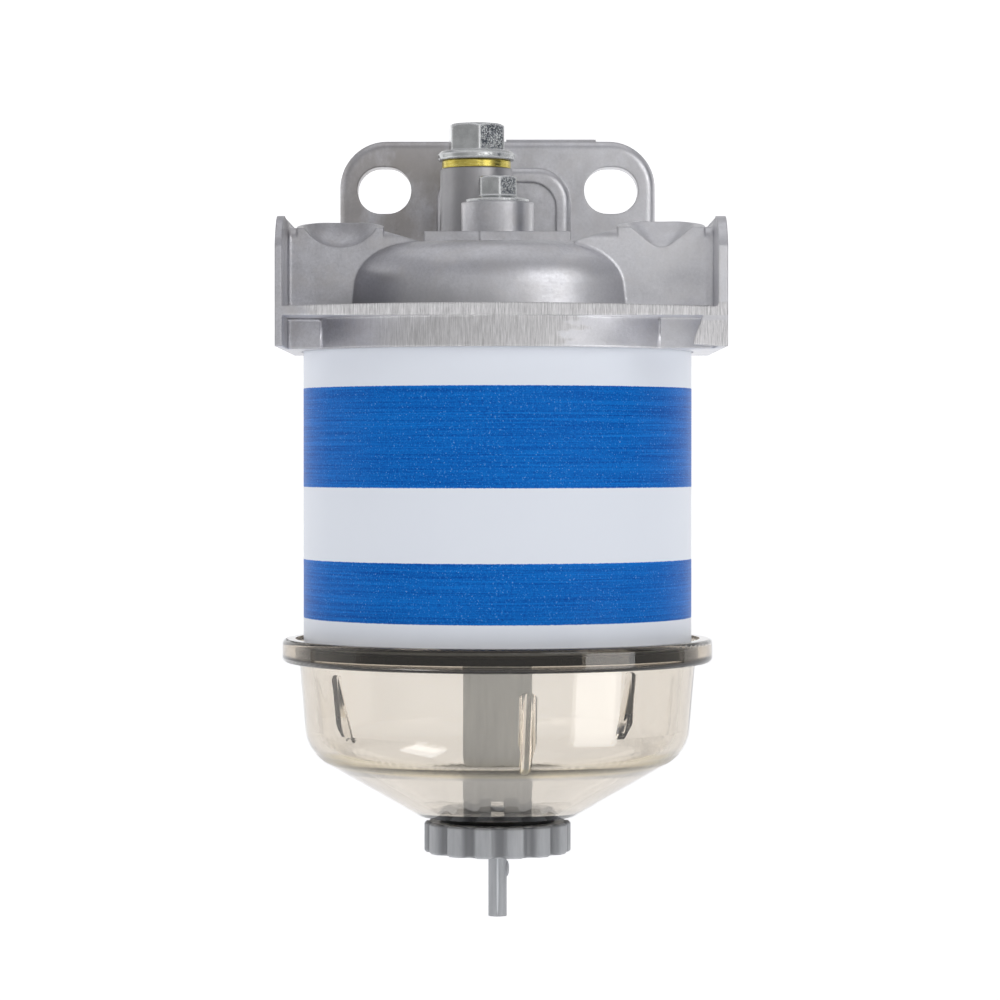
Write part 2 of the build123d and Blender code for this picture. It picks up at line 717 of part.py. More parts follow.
def drain_washer():
    top = nose_end - seat_gap
    return ring(washer_hole_d / 2, washer_d / 2, top - washer_t, top)


def drain_knob():
    """The fluted tap: its bore runs on the tube's nose and its floor carries the washer."""
    knob = rod(knob_d / 2, knob_foot, knob_top)
    flute_r = flute_w ** 2 / (8 * flute_depth) + flute_depth / 2
    for place in PolarLocations(knob_d / 2 - flute_depth + flute_r, flute_count, start_angle=-88.5):
        knob -= place * Pos(0, 0, knob_foot - 1) * Cylinder(
            flute_r, knob_h + 2, align=(Align.CENTER, Align.CENTER, Align.MIN))
    knob = fillet(knob.edges().filter_by(Axis.Z), flute_round)
    rims = knob.edges().filter_by(lambda e: abs(e.center().Z - knob_top) < 0.01
                                  or abs(e.center().Z - knob_foot) < 0.01)
    knob = chamfer(rims, knob_edge)
    flange_foot = bowl_bottom_z - hub_seal_t - foot_flange_t
    knob -= rod(foot_flange_d / 2 + 0.3, flange_foot - seat_gap, knob_top + 1)
    washer_floor = nose_end - seat_gap - washer_t
    knob -= rod(nose_d / 2 + thread_gap, washer_floor, knob_top)
    knob += rod(spigot_d / 2, knob_foot - spigot_l, knob_foot + 0.5)
    return knob - rod(spigot_bore_d / 2, knob_foot - spigot_l - 1, knob_top)


nodes = {
    "filter_head": filter_head(),
    "centre_bolt": centre_bolt(),
    "bolt_seal": bolt_seal(),
    "head_seal": head_seal(),
    "upper_tube_seal": upper_tube_seal(),
    "can_shell": can_shell(),
    "top_end_plate": end_plate(plate_top - plate_t),
    "bottom_end_plate": end_plate(plate_foot),
    "element_core": element_core(),
    "pleated_paper": pleated_paper(),
    "lower_tube_seal": lower_tube_seal(),
    "bowl_seal": bowl_seal(),
    "sediment_bowl": sediment_bowl(),
    "bowl_centre_tube": bowl_centre_tube(),
    "threaded_insert": threaded_insert(),
    "hub_seal": hub_seal(),
    "vent_washer": vent_washer(),
    "vent_plug": vent_plug(),
    "drain_washer": drain_washer(),
    "drain_knob": drain_knob(),
}
for name, shape in nodes.items():
    export_step(Pos(0, -bracket_rear, -slot_z) * shape, f"parts/{name}.step")
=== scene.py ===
import math

import bmesh
import bpy
from mathutils import Matrix, Vector


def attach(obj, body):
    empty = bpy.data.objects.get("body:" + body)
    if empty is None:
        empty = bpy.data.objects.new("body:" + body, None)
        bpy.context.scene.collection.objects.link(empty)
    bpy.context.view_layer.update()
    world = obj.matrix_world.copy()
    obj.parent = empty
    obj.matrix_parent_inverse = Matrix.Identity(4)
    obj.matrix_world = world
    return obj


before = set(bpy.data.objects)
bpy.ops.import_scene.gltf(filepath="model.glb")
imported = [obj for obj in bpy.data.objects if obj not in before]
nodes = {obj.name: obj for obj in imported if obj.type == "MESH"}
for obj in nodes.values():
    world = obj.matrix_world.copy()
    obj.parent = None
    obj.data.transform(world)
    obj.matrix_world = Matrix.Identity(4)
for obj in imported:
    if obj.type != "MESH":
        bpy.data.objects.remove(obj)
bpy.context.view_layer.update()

# Camera: level with the canister and a little under a metre in front of it, so that the printed
# bands and the bowl's rim curve as they do in the photograph.
look_down_deg = 0.73
camera_data = bpy.data.cameras.new("camera")
camera_data.sensor_width = 36.0
camera_data.lens = 126.5
camera = bpy.data.objects.new("camera", camera_data)
camera.location = (0.00055, -0.830, -0.0619)
camera.rotation_euler = (math.radians(90 - look_down_deg), 0, 0)
bpy.context.scene.collection.objects.link(camera)
bpy.context.scene.camera = camera
bpy.context.scene.view_settings.view_transform = "Standard"

# Studio: a white paper sweep under and behind the filter, soft boxes round it and a lamp above,
# and a dim room in front, which is what the metal and the bowl reflect.
AXIS = Vector((0.0, -0.050, 0.0))
SKIRT_Z = -0.0391


def only(geom, kind):
    return [part for part in geom if isinstance(part, kind)]


def keep(name, bm, smooth=True):
    """Makes a finished mesh an object of the scene, at the origin."""
    mesh = bpy.data.meshes.new(name)
    bm.to_mesh(mesh)
    bm.free()
    for face in mesh.polygons:
        face.use_smooth = smooth
    piece = bpy.data.objects.new(name, mesh)
    bpy.context.scene.collection.objects.link(piece)
    return piece


def paper_sweep(half_width=2.4, front_y=-1.6, floor_depth=2.5, floor_z=-0.33, bend_r=0.5,
                wall=0.28):
    """Paper that lies flat under the filter and bends up into a wall behind it."""
    bm = bmesh.new()
    bm.edges.new([bm.verts.new((side * half_width, front_y, floor_z)) for side in (-1, 1)])
    floor = bmesh.ops.extrude_edge_only(bm, edges=bm.edges[:])["geom"]
    far = only(floor, bmesh.types.BMVert)
    bmesh.ops.translate(bm, verts=far, vec=(0, floor_depth, 0))
    bend = [e for e in only(floor, bmesh.types.BMEdge) if all(v in far for v in e.verts)]
    bmesh.ops.spin(bm, geom=far + bend, cent=(0, front_y + floor_depth, floor_z + bend_r),
                   axis=(1, 0, 0), angle=math.pi / 2, steps=16, use_merge=False,
                   use_normal_flip=False, use_duplicate=False)
    top_z = max(v.co.z for v in bm.verts)
    top = [e for e in bm.edges if all(abs(v.co.z - top_z) < 1e-5 for v in e.verts)]
    risen = bmesh.ops.extrude_edge_only(bm, edges=top)["geom"]
    bmesh.ops.translate(bm, verts=only(risen, bmesh.types.BMVert), vec=(0, 0, wall))
    bmesh.ops.recalc_face_normals(bm, faces=bm.faces[:])
    return keep("paper_sweep", bm)


def finish_of(name):
    """A new node material, with its tree and its Principled shader."""
    material = bpy.data.materials.new(name)
    material.use_nodes = True
    return material, material.node_tree, material.node_tree.nodes["Principled BSDF"]


def add(tree, kind, values=None, **settings):
    """A node with its settings, and the values or incoming sockets of its inputs."""
    node = tree.nodes.new(kind)
    for setting, value in settings.items():
        setattr(node, setting, value)
    for key, value in (values or {}).items():
        if isinstance(value, bpy.types.NodeSocket):
            tree.links.new(value, node.inputs[key])
        else:
            node.inputs[key].default_value = value
    return node


def math_node(tree, operation, a, b=None):
    given = {0: a} if b is None else {0: a, 1: b}
    return add(tree, "ShaderNodeMath", given, operation=operation).outputs[0]


def times(tree, first, *others):
    for other in others:
        first = math_node(tree, "MULTIPLY", first, other)
    return first


def remap(tree, value, low, high, to_low=0.0, to_high=1.0):
    """A fade: to_low where the value is low, to_high where it is high, and no further."""
    return add(tree, "ShaderNodeMapRange", {"Value": value, "From Min": low, "From Max": high,
                                            "To Min": to_low, "To Max": to_high}).outputs[0]


def mix(tree, share, a, b):
    return add(tree, "ShaderNodeMix", {0: share, 6: a, 7: b}, data_type="RGBA").outputs[2]


sweep = paper_sweep()
sweep_paper, tree, shader = finish_of("sweep_paper")
shader.inputs["Base Color"].default_value = (0.93, 0.93, 0.93, 1)
shader.inputs["Roughness"].default_value = 0.9
shader.inputs["Emission Color"].default_value = (1, 1, 1, 1)
shader.inputs["Emission Strength"].default_value = 0.47
sweep.data.materials.append(sweep_paper)

# The room's walls are grey by bearing, in degrees round from the camera toward +X, and one dark
# opening at the right puts the dark faces on the hexagons. Ceiling and table are a flat grey.
behind_grey = 0.70
wall_greys = ((-105, 0.70), (-85, 0.52), (-55, 0.42), (-38, 0.42), (-18, 0.60), (15, 0.62),
              (40, 0.55), (60, 0.42), (66, 0.06), (86, 0.06), (96, 0.70))
opening_grey = 0.06
ceiling_grey, table_grey = (0.40, 0.40, 0.42, 1), (0.50, 0.50, 0.50, 1)
ceiling_from, ceiling_full = math.sin(math.radians(20)), math.sin(math.radians(48))

world = bpy.data.worlds.new("dim_room")
bpy.context.scene.world = world
world.use_nodes = True
sky = world.node_tree
toward = add(sky, "ShaderNodeSeparateXYZ", {
    0: add(sky, "ShaderNodeTexCoord").outputs["Generated"]}).outputs
bearing = math_node(sky, "ARCTAN2", toward["X"], times(sky, toward["Y"], -1.0))
walls = add(sky, "ShaderNodeValToRGB", {0: remap(sky, bearing, -math.pi, math.pi)})
stops = walls.color_ramp.elements
stops[0].position, stops[0].color = 0.0, (behind_grey, behind_grey, behind_grey, 1)
stops[1].position, stops[1].color = 1.0, (behind_grey, behind_grey, behind_grey, 1)
for bearing_deg, grey in wall_greys:
    stop = stops.new((bearing_deg + 180) / 360)
    cool = (grey * 0.8, grey, grey * 1.5, 1)
    stop.color = cool if grey == opening_grey else (grey, grey, grey * 1.02, 1)
below = remap(sky, toward["Z"], 0.03, -0.03)
above = add(sky, "ShaderNodeMapRange", {
    "Value": toward["Z"], "From Min": ceiling_from, "From Max": ceiling_full},
    interpolation_type="SMOOTHSTEP").outputs[0]
room = mix(sky, above, mix(sky, below, walls.outputs["Color"], table_grey), ceiling_grey)
sky.links.new(room, sky.nodes["Background"].inputs["Color"])
sky.nodes["Background"].inputs["Strength"].default_value = 1.0


def soft_box(name, turn_deg, lift, distance, width, height, radiance, tilt_deg=0, roll_deg=0):
    """A soft box aimed at the filter, turn degrees round from the camera toward +X."""
    light = bpy.data.lights.new(name, "AREA")
    light.shape = "RECTANGLE"
    light.size = width
    light.size_y = height
    light.energy = radiance * math.pi * width * height
    lamp = bpy.data.objects.new(name, light)
    turn = math.radians(turn_deg)
    place = AXIS + Vector((math.sin(turn), -math.cos(turn), 0)) * distance
    lamp.location = (place.x, place.y, SKIRT_Z + lift)
    aim = Matrix.Rotation(turn, 3, "Z") @ Matrix.Rotation(math.radians(90 + tilt_deg), 3, "X")
    lamp.rotation_euler = (aim @ Matrix.Rotation(math.radians(roll_deg), 3, "Z")).to_euler()
    bpy.context.scene.collection.objects.link(lamp)
    return lamp


# The two low ones only show as highlights on the bowl, and the card stands on its corner.
soft_box("upper_box", 37, 0.40, 0.90, 0.40, 0.56, 1.9)
soft_box("low_strip", 59, -0.185, 0.45, 0.23, 0.20, 3.2).visible_diffuse = False
soft_box("low_card", -45.6, -0.222, 0.238, 0.098, 0.098, 5.0, 34, 45).visible_diffuse = False
soft_box("slim_strip", 9, 0.135, 0.60, 0.032, 0.14, 2.6)
soft_box("left_box", -95, 0.25, 1.00, 0.60, 1.10, 0.3)
overhead = bpy.data.lights.new("overhead", "AREA")
overhead.shape = "RECTANGLE"
overhead.size = 1.2
overhead.size_y = 1.0
overhead.energy = 1.3
overhead_lamp = bpy.data.objects.new("overhead", overhead)
overhead_lamp.location = (0.0, 0.05, 0.95)
bpy.context.scene.collection.objects.link(overhead_lamp)


# Head: one aluminium die casting, tumbled after casting, with the port faces, the ledge and
# the front of the skirt ground flat on a belt. It carries every other piece of the filter.
def group(name, inputs, outputs):
    """An empty node group with its named sockets, and its nodes for what comes in and goes out."""
    tree = bpy.data.node_groups.new(name, "ShaderNodeTree")
    for socket, kind, value in inputs:
        made = tree.interface.new_socket(name=socket, in_out="INPUT", socket_type=kind)
        if value is not None:
            made.default_value = value
    for socket, kind in outputs:
        tree.interface.new_socket(name=socket, in_out="OUTPUT", socket_type=kind)
    return tree, tree.nodes.new("NodeGroupInput").outputs, tree.nodes.new("NodeGroupOutput").inputs


def plus(tree, a, b):
    return math_node(tree, "ADD", a, b)


def size_of(tree, value):
    return math_node(tree, "ABSOLUTE", value)


def within(tree, value, low, high, soft):
    """1 between low and high, falling to 0 over the soft distance outside them."""
    return times(tree, remap(tree, value, low - soft, low), remap(tree, value, high + soft, high))


def noise(tree, place, scale, detail=2.0, roughness=0.5):
    return add(tree, "ShaderNodeTexNoise", {"Vector": place, "Scale": scale, "Detail": detail,
                                            "Roughness": roughness}).outputs["Fac"]


def millimetres(tree, x=0.0, y=0.0, z=0.0, stretch=(1, 1, 1)):
    """Object coordinates in millimetres about the filter's axis, with zero at the skirt's foot."""
    place = add(tree, "ShaderNodeTexCoord").outputs["Object"]
    zero = (x, 1000 * AXIS.y + y, 1000 * SKIRT_Z + z)
    return add(tree, "ShaderNodeMapping", {
        "Vector": place, "Location": [-at * s for at, s in zip(zero, stretch)],
        "Scale": [1000 * s for s in stretch]}).outputs[0]


def vector_math(tree, operation, a, b=None):
    given = {0: a} if b is None else {0: a, 1: b}
    return add(tree, "ShaderNodeVectorMath", given, operation=operation).outputs


def from_line(tree, x=0.0, y=0.0):
    """Distance in millimetres from the upright line through x and y."""
    return vector_math(tree, "LENGTH", millimetres(tree, x, y, 0.0, (1, 1, 0)))["Value"]


def parts_of(tree, vector):
    return add(tree, "ShaderNodeSeparateXYZ", {0: vector}).outputs


def facing_of(tree):
    return add(tree, "ShaderNodeNewGeometry").outputs["Normal"]


def relief(tree, shader, height, strength, depth, rounded=None):
    """Fine bumps of a depth in metres, on the plain surface or on one with rounded edges."""
    values = {"Height": height, "Strength": strength, "Distance": depth}
    if rounded is not None:
        values["Normal"] = rounded
    bump = add(tree, "ShaderNodeBump", values)
    tree.links.new(bump.outputs[0], shader.inputs["Normal"])


def paint(material, *node_names):
    """Puts a material in every slot of the pieces that came from the CAD model."""
    for node_name in node_names:
        for slot in nodes[node_name].material_slots:
            slot.material = material


cast_grain, grain_in, grain_out = group(
    "cast_grain",
    [("Place", "NodeSocketVector", None),
     ("Light", "NodeSocketColor", (0.71, 0.71, 0.745, 1)),
     ("Dark", "NodeSocketColor", (0.44, 0.44, 0.465, 1)),
     ("Warm", "NodeSocketColor", (0.56, 0.535, 0.52, 1))],
    [("Color", "NodeSocketColor"), ("Height", "NodeSocketFloat"),
     ("Roughness", "NodeSocketFloat")])
cloud = noise(cast_grain, grain_in["Place"], 0.10, 5.0, 0.62)
speck = noise(cast_grain, grain_in["Place"], 1.5, 5.0, 0.75)
tone = plus(cast_grain, times(cast_grain, cloud, 0.55), times(cast_grain, speck, 0.45))
skin_tone = mix(cast_grain, remap(cast_grain, tone, 0.34, 0.64), grain_in["Dark"],
                grain_in["Light"])
warm_part = remap(cast_grain, noise(cast_grain, grain_in["Place"], 0.19, 4.0, 0.6), 0.48, 0.66)
skin_tone = mix(cast_grain, times(cast_grain, warm_part, 0.4), skin_tone, grain_in["Warm"])
cast_grain.links.new(skin_tone, grain_out["Color"])
cast_grain.links.new(plus(cast_grain, speck, times(cast_grain, cloud, 3.0)), grain_out["Height"])
cast_grain.links.new(remap(cast_grain, tone, 0.36, 0.62, 0.44, 0.28), grain_out["Roughness"])

cast, tree, shader = finish_of("cast_aluminium")
place = millimetres(tree)
x, y, z = parts_of(tree, place)
facing = parts_of(tree, facing_of(tree))
grain = add(tree, "ShaderNodeGroup", {"Place": place}, node_tree=cast_grain).outputs

# The belt took the whole front of the ledge, the middle of the skirt to a ragged edge, the
# lower corner at the outlet end and both end faces. Fades run from none of it to all of it.
ledge_heights, ledge_left_end = (6.55, 9.15), (-38.5, -36.0)
under_ledge, skirt_middle_x, skirt_half = (6.9, 6.6), -6.4, (23.0, 20.0)
skirt_slant, skirt_slant_from, ragged_by = 0.9, 3.0, 22.0
corner_side, corner_top, corner_front = (38.9, 39.4), (5.6, 5.2), (-31.6, -31.9)
end_face_x = (46.2, 46.4)
belt_dark, belt_light = (0.46, 0.455, 0.46, 1), (0.88, 0.87, 0.875, 1)
belt_dull, milled_grey = (0.36, 0.355, 0.355, 1), (0.66, 0.66, 0.67, 1)

edge_noise = noise(tree, millimetres(tree, stretch=(0.16, 0.16, 0.45)), 1.0, 4.0, 0.6)
on_front = remap(tree, times(tree, facing["Y"], -1.0), 0.75, 0.93)
ledge_part = times(tree, within(tree, z, *ledge_heights, 0.2),
                   remap(tree, plus(tree, x, times(tree, edge_noise, 6.0)), *ledge_left_end))
slant = times(tree, math_node(tree, "SUBTRACT", z, skirt_slant_from), skirt_slant)
ragged = times(tree, math_node(tree, "SUBTRACT", edge_noise, 0.5), ragged_by)
from_middle = size_of(tree, plus(tree, x, -skirt_middle_x))
reach = plus(tree, math_node(tree, "SUBTRACT", from_middle, slant), ragged)
skirt_part = times(tree, remap(tree, reach, *skirt_half), remap(tree, z, *under_ledge))
ground = times(tree, math_node(tree, "MAXIMUM", ledge_part, skirt_part), on_front)
corner_part = times(tree, remap(tree, x, *corner_side), remap(tree, z, *corner_top),
                    remap(tree, y, *corner_front))
ground = math_node(tree, "MAXIMUM", ground, corner_part)
end_face = times(tree, remap(tree, size_of(tree, facing["X"]), 0.9, 0.99),
                 remap(tree, size_of(tree, x), *end_face_x))
upright_lines = noise(tree, millimetres(tree, stretch=(3.5, 3.5, 0.22)), 1.0, 4.0, 0.75)
across_lines = noise(tree, millimetres(tree, stretch=(1.0, 0.12, 2.6)), 1.0, 4.0, 0.75)
belt_tone = mix(tree, remap(tree, upright_lines, 0.35, 0.66), belt_dark, belt_light)
belt_tone = mix(tree, times(tree, skirt_part, 0.30), belt_tone, belt_dull)

# Where hands and oil have been the casting is browner, on the bracket's inlet side most of all.
# The vent boss is darker from a stain and a painted dark reflection, the foot of the dome has
# painted shade, and painted light brightens the skin toward the outlet, the side the key light
# falls on.
bracket_face, upper_half = (40.5, 42.0), (20.0, 24.0)
smear_middle, smear_shape = (-20.0, 42.5, 34.0), (0.055, 0.12, 0.045)
dirt_heights, dirt_span = (27.0, 34.0), (-26.0, -16.0)
vent_boss, vent_boss_edge, vent_boss_foot = (-4.8, 18.0), (9.2, 8.8), (24.0, 27.0)
above_ledge, dome_rise = (9.2, 9.4), (15.0, 9.6)
dome_span, dome_front = (-33.0, 8.0), (-18.0, -24.0)
inlet_to_outlet = (-42.0, 42.0)

on_bracket = remap(tree, y, *bracket_face)
smear_reach = vector_math(tree, "LENGTH", millimetres(tree, *smear_middle, smear_shape))["Value"]
smear = noise(tree, millimetres(tree, stretch=(0.16, 0.16, 0.10)), 1.0, 5.0, 0.65)
brown = times(tree, remap(tree, smear_reach, 1.35, 0.5), remap(tree, smear, 0.32, 0.54),
              on_bracket)
dirt = times(tree, remap(tree, noise(tree, place, 0.9, 5.0, 0.75), 0.60, 0.70),
             within(tree, z, *dirt_heights, 3.0), on_bracket, within(tree, x, *dirt_span, 4.0))
# Painted dark reflection on the vent boss, over a real stain there.
boss_stain_and_dark_reflection = times(tree, remap(tree, from_line(tree, *vent_boss), *vent_boss_edge),
             remap(tree, z, *vent_boss_foot))
# Painted shade in the corner where the dome meets the ledge.
dome_foot_shade = times(tree, remap(tree, z, *above_ledge), remap(tree, z, *dome_rise),
                  within(tree, x, *dome_span, 8.0), remap(tree, y, *dome_front))
smudge = noise(tree, millimetres(tree, stretch=(0.15, 0.15, 0.11)), 1.0, 6.0, 0.7)
smudge = times(tree, remap(tree, smudge, 0.42, 0.62), remap(tree, z, *upper_half))
shade = noise(tree, millimetres(tree, stretch=(0.05, 0.05, 0.08)), 1.0, 4.0, 0.6)
skin = grain["Color"]
for share, strength, tone in (
        (brown, 0.90, (0.33, 0.30, 0.275, 1)),
        (dirt, 0.60, (0.13, 0.125, 0.12, 1)),
        (boss_stain_and_dark_reflection, 0.92, (0.20, 0.196, 0.204, 1)),
        (dome_foot_shade, 0.60, (0.27, 0.265, 0.27, 1)),
        (smudge, 0.40, (0.33, 0.315, 0.31, 1)),
        (remap(tree, shade, 0.36, 0.64), 0.30, (0.36, 0.355, 0.365, 1)),
        # Painted light: the skin is lighter toward the outlet end, where the key light falls.
        (remap(tree, x, *inlet_to_outlet), 0.45, (0.90, 0.90, 0.92, 1))):
    skin = mix(tree, times(tree, share, strength), skin, tone)
skin = mix(tree, ground, skin, belt_tone)
skin = mix(tree, end_face, skin, milled_grey)
tree.links.new(skin, shader.inputs["Base Color"])
shader.inputs["Metallic"].default_value = 0.95
tree.links.new(plus(tree, grain["Roughness"], times(tree, ground, 0.06)),
               shader.inputs["Roughness"])
belt_lines = times(tree, math_node(tree, "SUBTRACT", upright_lines, 0.5), ground, 2.0)
belt_lines = plus(tree, belt_lines, times(tree, across_lines, end_face))
edges = add(tree, "ShaderNodeBevel", {"Radius": 0.0006}, samples=4)
relief(tree, shader, plus(tree, belt_lines, times(tree, grain["Height"], 0.5)), 0.45, 0.00014,
       edges.outputs[0])
paint(cast, "filter_head")


# Flash on the head: where the die's slides met it left fine rounded beads, up both ends of the
# skirt and round the pocket under the inlet block.
def cast_bead(name, start, steps, bead_r=0.00034, sides=8):
    """A round bead run up from start: a step is a straight (dx, dz) or a quarter turn's radius."""
    bm = bmesh.new()
    bmesh.ops.create_circle(bm, cap_ends=True, radius=bead_r, segments=sides,
                            matrix=Matrix.Translation(start))
    heading = Vector((0, 0, 1))
    tip = [bm.verts[:], bm.faces[:]]
    for step in steps:
        if isinstance(step, tuple):
            grown = bmesh.ops.extrude_face_region(bm, geom=tip[1])["geom"]
            run = Vector((step[0], 0, step[1]))
            bmesh.ops.translate(bm, verts=only(grown, bmesh.types.BMVert), vec=run)
            heading = run.normalized()
        else:
            middle = sum((v.co for v in tip[0]), Vector()) / len(tip[0])
            side = Vector((heading.z, 0, -heading.x)) * -step
            grown = bmesh.ops.spin(bm, geom=tip[1], cent=middle + side, axis=(0, 1, 0),
                                   angle=-math.pi / 2, steps=5, use_merge=False,
                                   use_normal_flip=False, use_duplicate=False)["geom_last"]
            heading = Vector((-heading.z, 0, heading.x))
        tip = [only(grown, bmesh.types.BMVert), only(grown, bmesh.types.BMFace)]
    # Each step leaves its starting cap inside the bead, so all but the two ends come out.
    caps = [f for f in bm.faces if len(f.verts) == sides and f not in tip[1]]
    bottom = min(caps, key=lambda f: (f.calc_center_median() - Vector(start)).length)
    bmesh.ops.delete(bm, geom=[f for f in caps if f is not bottom], context="FACES_ONLY")
    bmesh.ops.recalc_face_normals(bm, faces=bm.faces[:])
    piece = keep(name, bm)
    piece.data.materials.append(cast)
    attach(piece, "root")


bead_foot_z = SKIRT_Z + 0.0003
cast_bead("inlet_pocket_bead", (-0.0378, AXIS.y - 0.0263, bead_foot_z),
          [(0, 0.0052), 0.0007, (-0.0062, 0), 0.0007, (0, -0.0049)])
cast_bead("outlet_skirt_bead", (0.0345, AXIS.y - 0.0304, bead_foot_z), [(0, 0.0060)])


# Port threads: each of the four ports is tapped with a fine half-inch thread, cut in the
# casting itself. The crests stand in from the bore that the CAD model draws.
def thread_ridge(name, root_r, crest_r, pitch, turns, place):
    """A helical ridge that climbs +Z from the origin, turned and moved by the place matrix."""
    bm = bmesh.new()
    half = pitch * 0.42
    crest_half = half * 0.18
    corners = [(root_r, -half), (crest_r, -crest_half), (crest_r, crest_half), (root_r, half)]
    section = [bm.verts.new((r, 0, h)) for r, h in corners]
    for a, b in zip(section, section[1:] + section[:1]):
        bm.edges.new((a, b))
    steps = int(turns * 32)
    bmesh.ops.spin(bm, geom=section + bm.edges[:], cent=(0, 0, 0), axis=(0, 0, 1),
                   dvec=(0, 0, turns * pitch / steps), angle=turns * 2 * math.pi, steps=steps,
                   use_merge=False, use_normal_flip=False, use_duplicate=False)
    bmesh.ops.holes_fill(bm, edges=[e for e in bm.edges if e.is_boundary], sides=4)
    bmesh.ops.recalc_face_normals(bm, faces=bm.faces[:])
    bmesh.ops.transform(bm, matrix=place, verts=bm.verts[:])
    piece = keep(name, bm, smooth=False)
    piece.data.materials.append(cast)
    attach(piece, "root")


port_r, port_z, port_apart = 0.00575, SKIRT_Z + 0.0162, 0.0125
thread_pitch, thread_turns, thread_from_face = 0.00127, 8.0, 0.0007
for side, face_x, inward in (("inlet", -0.0465, 1), ("outlet", 0.0482, -1)):
    for where, across in (("front", -port_apart), ("rear", port_apart)):
        turned = Matrix.Rotation(math.radians(90 * inward), 4, "Y")
        mouth = (face_x + inward * thread_from_face, AXIS.y + across, port_z)
        thread_ridge(f"{side}_thread_{where}", port_r + 0.00005, port_r - 0.0005, thread_pitch,
                     thread_turns, Matrix.Translation(mouth) @ turned)

# Canister: drawn steel, painted gloss white before two blue bands are printed round it.
# Its turned-in ends grip the element, and the inside is bare tinned steel.
upper_band, lower_band = (-29.7, -8.15), (-58.5, -45.7)
inner_wall_r = (42.35, 42.30)
white_low, white_high = (0.855, 0.895, 0.965, 1), (0.88, 0.92, 0.985, 1)
ink_dark, ink_light = (0.001, 0.075, 0.39, 1), (0.006, 0.205, 0.72, 1)
ink_thin, ink_thick = (0.004, 0.21, 0.68, 1), (0.001, 0.06, 0.33, 1)
ink_void, bare_tin = (0.45, 0.62, 0.80, 1), (0.62, 0.62, 0.60, 1)

painted, tree, shader = finish_of("canister_paint")
place = millimetres(tree)
z = parts_of(tree, place)["Z"]
fuzz = math_node(tree, "SUBTRACT", noise(tree, place, 2.2, 4.0, 0.7), 0.5)
printed_z = plus(tree, z, times(tree, fuzz, 0.35))
bands = math_node(tree, "MAXIMUM", within(tree, printed_z, *upper_band, 0.1),
                  within(tree, printed_z, *lower_band, 0.1))
streaks = noise(tree, millimetres(tree, stretch=(0.025, 0.025, 2.4)), 1.0, 4.0, 0.75)
specks = noise(tree, place, 2.9, 3.0, 0.7)
ink = mix(tree, remap(tree, streaks, 0.36, 0.68), ink_dark, ink_light)
ink = mix(tree, times(tree, remap(tree, specks, 0.46, 0.62), 0.6), ink, ink_thin)
ink = mix(tree, times(tree, remap(tree, specks, 0.44, 0.34), 0.6), ink, ink_thick)
ink = mix(tree, times(tree, remap(tree, specks, 0.63, 0.70), 0.5), ink, ink_void)
white = mix(tree, noise(tree, place, 0.06, 2.0, 0.5), white_low, white_high)
inside = remap(tree, from_line(tree), *inner_wall_r)
tree.links.new(mix(tree, inside, mix(tree, bands, white, ink), bare_tin),
               shader.inputs["Base Color"])
tree.links.new(inside, shader.inputs["Metallic"])
shader.inputs["Roughness"].default_value = 0.40
shader.inputs["Specular IOR Level"].default_value = 0.04
tree.links.new(remap(tree, bands, 0.0, 1.0, 0.16, 0.09), shader.inputs["Coat Weight"])
shader.inputs["Coat Roughness"].default_value = 0.12
peel = plus(tree, noise(tree, place, 0.55, 2.0, 0.5), times(tree, bands, 0.25))
relief(tree, shader, peel, 0.15, 0.00008)
paint(painted, "can_shell")

# Element: folded resin-treated paper between two pressed steel plates, on a perforated core.
# The plates and the core are tinned. All of it is shut inside the canister.
fine_wear, wear_in, wear_out = group(
    "fine_wear",
    [("Place", "NodeSocketVector", None), ("Scale", "NodeSocketFloat", 1.0),
     ("Detail", "NodeSocketFloat", 4.0), ("Coarseness", "NodeSocketFloat", 0.6),
     ("Dark", "NodeSocketColor", (0.4, 0.4, 0.4, 1)),
     ("Light", "NodeSocketColor", (0.6, 0.6, 0.6, 1)),
     ("Dark Below", "NodeSocketFloat", 0.3), ("Light Above", "NodeSocketFloat", 0.7),
     ("Smoothest", "NodeSocketFloat", 0.3), ("Roughest", "NodeSocketFloat", 0.5)],
    [("Color", "NodeSocketColor"), ("Height", "NodeSocketFloat"),
     ("Roughness", "NodeSocketFloat")])
pattern = noise(fine_wear, wear_in["Place"], wear_in["Scale"], wear_in["Detail"],
                wear_in["Coarseness"])
light_part = remap(fine_wear, pattern, wear_in["Dark Below"], wear_in["Light Above"])
fine_wear.links.new(mix(fine_wear, light_part, wear_in["Dark"], wear_in["Light"]),
                    wear_out["Color"])
fine_wear.links.new(pattern, wear_out["Height"])
fine_wear.links.new(remap(fine_wear, pattern, 0.3, 0.7, wear_in["Smoothest"],
                          wear_in["Roughest"]), wear_out["Roughness"])


def wear(tree, place, scale, detail, coarseness, colours=None, fade=(0.3, 0.7), gloss=None):
    """The fine_wear group, placed in a material with its own values."""
    values = {"Place": place, "Scale": scale, "Detail": detail, "Coarseness": coarseness,
              "Dark Below": fade[0], "Light Above": fade[1]}
    if colours:
        values["Dark"], values["Light"] = colours
    if gloss:
        values["Smoothest"], values["Roughest"] = gloss
    return add(tree, "ShaderNodeGroup", values, node_tree=fine_wear).outputs


paper, tree, shader = finish_of("filter_paper")
fibres = wear(tree, millimetres(tree, stretch=(1.2, 1.2, 0.5)), 1.0, 5.0, 0.75,
              ((0.56, 0.43, 0.21, 1), (0.80, 0.67, 0.40, 1)))
tree.links.new(fibres["Color"], shader.inputs["Base Color"])
shader.inputs["Roughness"].default_value = 0.85
creases = plus(tree, fibres["Height"], noise(tree, millimetres(tree), 0.5, 3.0, 0.6))
relief(tree, shader, creases, 0.5, 0.0002)
paint(paper, "pleated_paper")

